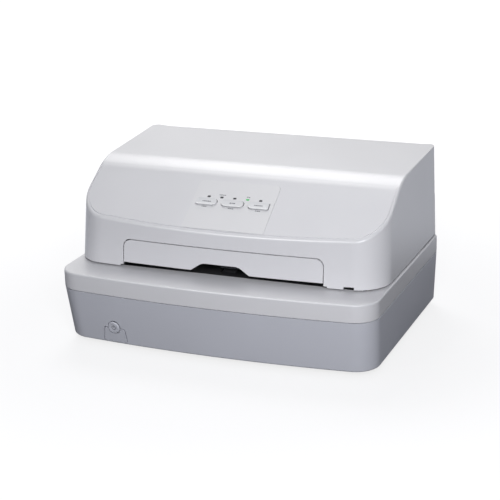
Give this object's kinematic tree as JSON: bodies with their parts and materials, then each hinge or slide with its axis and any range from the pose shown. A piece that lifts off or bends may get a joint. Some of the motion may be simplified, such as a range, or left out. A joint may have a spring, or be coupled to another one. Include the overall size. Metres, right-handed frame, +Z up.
{
  "type": "passbook printer",
  "caption": "Desktop passbook printer with a bowed base, a document shelf, a lift-up sloping hood with keys and lamps, and a needle head on two rods inside.",
  "frame": {"origin": "middle of the overall box, on the table under the feet", "axes": "+X to the clerk's right seen from the front, +Y to the rear, +Z up; the document shelf and the flap face -Y"},
  "size_m": [0.384, 0.28, 0.203],
  "materials": {
    "casing_plastic": "fine texture, satin",
    "overlay_plastic": "satin",
    "key_plastic": "satin",
    "black_plastic": "matt",
    "green_plastic": "satin",
    "grey_plastic": "satin",
    "white_plastic": "satin",
    "lens_plastic": "smoked, glossy",
    "rubber": "ground matt",
    "steel": "ground",
    "zinc_steel": "zinc plated sheet",
    "aluminium": "satin",
    "board": "green solder mask",
    "unit_body": "folded sheet over electronics, given the density of the whole unit",
    "ink_fabric": "inked nylon"
  },
  "bodies": {
    "base": {"base_tub": "casing_plastic", "foot_front_left": "rubber", "foot_front_right": "rubber", "foot_rear_left": "rubber", "foot_rear_right": "rubber", "power_bezel": "casing_plastic", "power_switch": "black_plastic", "shelf_frame": "casing_plastic", "rear_casing": "casing_plastic", "hood_hinge_pin_left": "steel", "hood_hinge_pin_right": "steel", "chassis_plate": "zinc_steel", "side_frame_left": "zinc_steel", "side_frame_right": "zinc_steel", "feed_motor": "aluminium", "feed_belt": "rubber", "platen_bar": "steel", "lower_guide": "black_plastic", "power_supply": "unit_body", "main_board": "board", "power_inlet": "black_plastic", "serial_port": "steel", "usb_port": "steel"},
    "hood_unit": {"hood": "casing_plastic", "control_panel": "overlay_plastic", "lamp_light_guide": "lens_plastic", "control_board": "board"},
    "flap": {"front_flap": "casing_plastic"},
    "key_left": {"button_left": "key_plastic"},
    "key_middle": {"button_middle": "key_plastic"},
    "key_right": {"button_right": "key_plastic"},
    "power_key": {"power_button": "key_plastic"},
    "front_feed": {"front_feed_shaft": "steel", "front_feed_pulley": "white_plastic", "front_feed_roller_left": "rubber", "front_feed_roller_middle": "rubber", "front_feed_roller_right": "rubber"},
    "rear_feed": {"rear_feed_shaft": "steel", "rear_feed_pulley": "white_plastic", "rear_feed_roller_left": "rubber", "rear_feed_roller_middle": "rubber", "rear_feed_roller_right": "rubber"},
    "motor_pulley": {"feed_motor_pulley": "white_plastic"},
    "upper_unit": {"upper_frame": "zinc_steel", "carriage_rod_front": "steel", "carriage_rod_rear": "steel", "carriage_motor": "aluminium", "carriage_belt": "rubber", "ribbon_cartridge": "black_plastic", "ribbon": "ink_fabric"},
    "carriage_unit": {"carriage": "black_plastic", "print_head": "aluminium"},
    "drive_pulley": {"carriage_drive_pulley": "white_plastic"},
    "idler_pulley": {"carriage_idler_pulley": "white_plastic"},
    "front_pinch": {"front_pinch_roller": "grey_plastic"},
    "rear_pinch": {"rear_pinch_roller": "grey_plastic"},
    "knob": {"ribbon_knob": "white_plastic"},
    "release": {"release_shaft": "steel", "release_lever_left": "green_plastic", "release_lever_right": "green_plastic"}
  },
  "joints": [
    {"name": "hood_hinge", "type": "hinge", "parent": "base", "child": "hood_unit", "pos_m": [0, 0.1345, 0.1475], "axis": [-1, 0, 0], "range_deg": [0, 65]},
    {"name": "flap_hinge", "type": "hinge", "parent": "hood_unit", "child": "flap", "pos_m": [0, -0.08595, 0.1195], "axis": [-1, 0, 0], "range_deg": [0, 24]},
    {"name": "key_left_press", "type": "slide", "parent": "hood_unit", "child": "key_left", "axis": [0, 0.527, -0.8499], "range_m": [0, 0.001], "stiffness_N_per_m": 300, "springref_m": -0.0005},
    {"name": "key_middle_press", "type": "slide", "parent": "hood_unit", "child": "key_middle", "axis": [0, 0.527, -0.8499], "range_m": [0, 0.001], "stiffness_N_per_m": 300, "springref_m": -0.0005},
    {"name": "key_right_press", "type": "slide", "parent": "hood_unit", "child": "key_right", "axis": [0, 0.527, -0.8499], "range_m": [0, 0.001], "stiffness_N_per_m": 300, "springref_m": -0.0005},
    {"name": "power_key_press", "type": "slide", "parent": "base", "child": "power_key", "axis": [0.0712, 0.9824, 0.1729], "range_m": [0, 0.0018], "stiffness_N_per_m": 400, "springref_m": -0.0005},
    {"name": "front_feed_turn", "type": "hinge", "parent": "base", "child": "front_feed", "pos_m": [0, -0.062, 0.0822], "axis": [1, 0, 0], "continuous": true},
    {"name": "rear_feed_turn", "type": "hinge", "parent": "base", "child": "rear_feed", "pos_m": [0, 0.002, 0.0822], "axis": [1, 0, 0], "continuous": true},
    {"name": "motor_pulley_turn", "type": "hinge", "parent": "base", "child": "motor_pulley", "pos_m": [0.166, -0.03, 0.05], "axis": [1, 0, 0], "continuous": true},
    {"name": "upper_lift", "type": "hinge", "parent": "base", "child": "upper_unit", "pos_m": [0, 0.075, 0.1], "axis": [-1, 0, 0], "range_deg": [0, 6]},
    {"name": "carriage_slide", "type": "slide", "parent": "upper_unit", "child": "carriage_unit", "axis": [1, 0, 0], "range_m": [-0.119, 0.119]},
    {"name": "drive_pulley_turn", "type": "hinge", "parent": "upper_unit", "child": "drive_pulley", "pos_m": [-0.138, 0.025, 0.122], "axis": [0, 0, 1], "continuous": true},
    {"name": "idler_pulley_turn", "type": "hinge", "parent": "upper_unit", "child": "idler_pulley", "pos_m": [0.138, 0.025, 0.122], "axis": [0, 0, 1], "continuous": true},
    {"name": "front_pinch_turn", "type": "hinge", "parent": "upper_unit", "child": "front_pinch", "pos_m": [0, -0.062, 0.0986], "axis": [1, 0, 0], "continuous": true},
    {"name": "rear_pinch_turn", "type": "hinge", "parent": "upper_unit", "child": "rear_pinch", "pos_m": [0, 0.002, 0.0986], "axis": [1, 0, 0], "continuous": true},
    {"name": "ribbon_knob_turn", "type": "hinge", "parent": "upper_unit", "child": "knob", "pos_m": [0.118, -0.068, 0.126], "axis": [0, 0, 1], "continuous": true},
    {"name": "release_turn", "type": "hinge", "parent": "upper_unit", "child": "release", "pos_m": [0, -0.0755, 0.1015], "axis": [-1, 0, 0], "range_deg": [0, 30]}
  ],
  "couplings": [
    {"joint": "rear_feed_turn", "follows": "front_feed_turn", "ratio": 1},
    {"joint": "motor_pulley_turn", "follows": "front_feed_turn", "ratio": 2.1765},
    {"joint": "front_pinch_turn", "follows": "front_feed_turn", "ratio": -1.2857},
    {"joint": "rear_pinch_turn", "follows": "front_feed_turn", "ratio": -1.2857},
    {"joint": "drive_pulley_turn", "follows": "carriage_slide", "rad_per_m": 113.64},
    {"joint": "idler_pulley_turn", "follows": "carriage_slide", "rad_per_m": 113.64}
  ]
}
